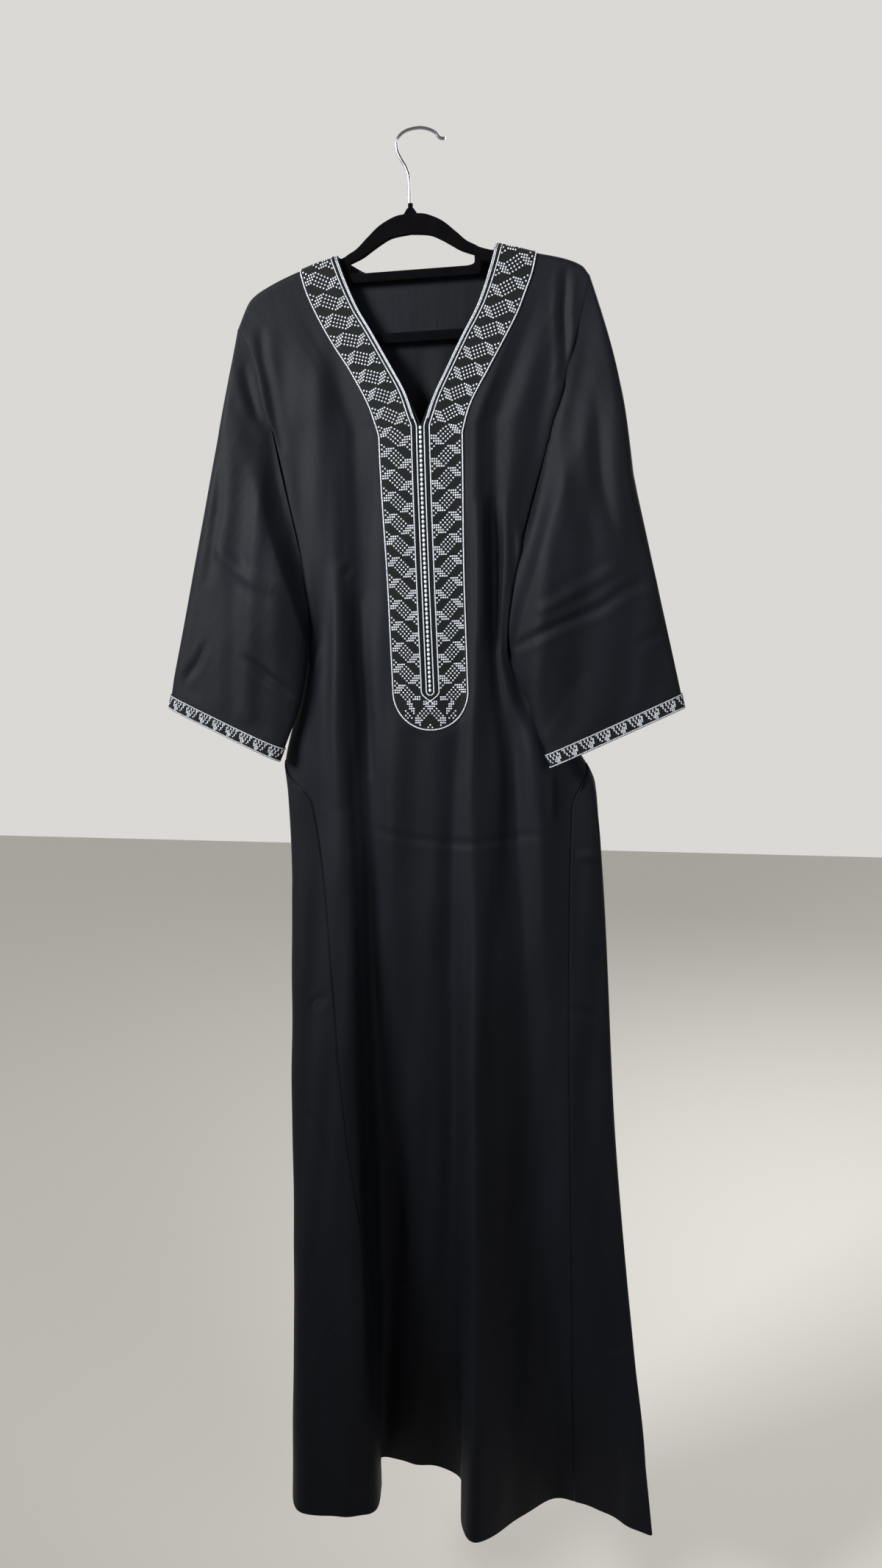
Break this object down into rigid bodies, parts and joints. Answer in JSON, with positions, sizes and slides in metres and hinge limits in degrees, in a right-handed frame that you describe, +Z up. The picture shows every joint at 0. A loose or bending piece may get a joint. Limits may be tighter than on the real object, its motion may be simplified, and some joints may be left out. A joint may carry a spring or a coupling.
{
  "type": "thobe on a hanger",
  "caption": "Long V-neck thobe with an embroidered neck, placket and cuffs, held flat on a flocked hanger with a wire hook.",
  "frame": {"origin": "the seat of the hook, the inside top of its arc, where a rail passes along Y", "axes": "+Z up, -Y the front of the cloth, +X the viewer's right as seen from the front"},
  "size_m": [0.6606, 0.14, 1.7437],
  "materials": {
    "cloth": "soft satin sheen",
    "lining": "matt",
    "embroidery": "dense thread with silver motifs",
    "cord": "silver thread",
    "flock": "short velvet flock over moulded plastic",
    "chrome": "polished"
  },
  "bodies": {
    "root": {"front_panel": "cloth", "back_panel": "cloth", "gore_left": "cloth", "gore_right": "cloth", "sleeve_left": "cloth", "sleeve_right": "cloth", "pocket_bag_left": "lining", "pocket_bag_right": "lining", "cuff_band_left": "embroidery", "cuff_band_right": "embroidery", "neck_band": "embroidery", "edge_cord": "cord", "outline_cord": "cord", "hanger_body": "flock", "hanger_hook": "chrome"}
  },
  "joints": []
}
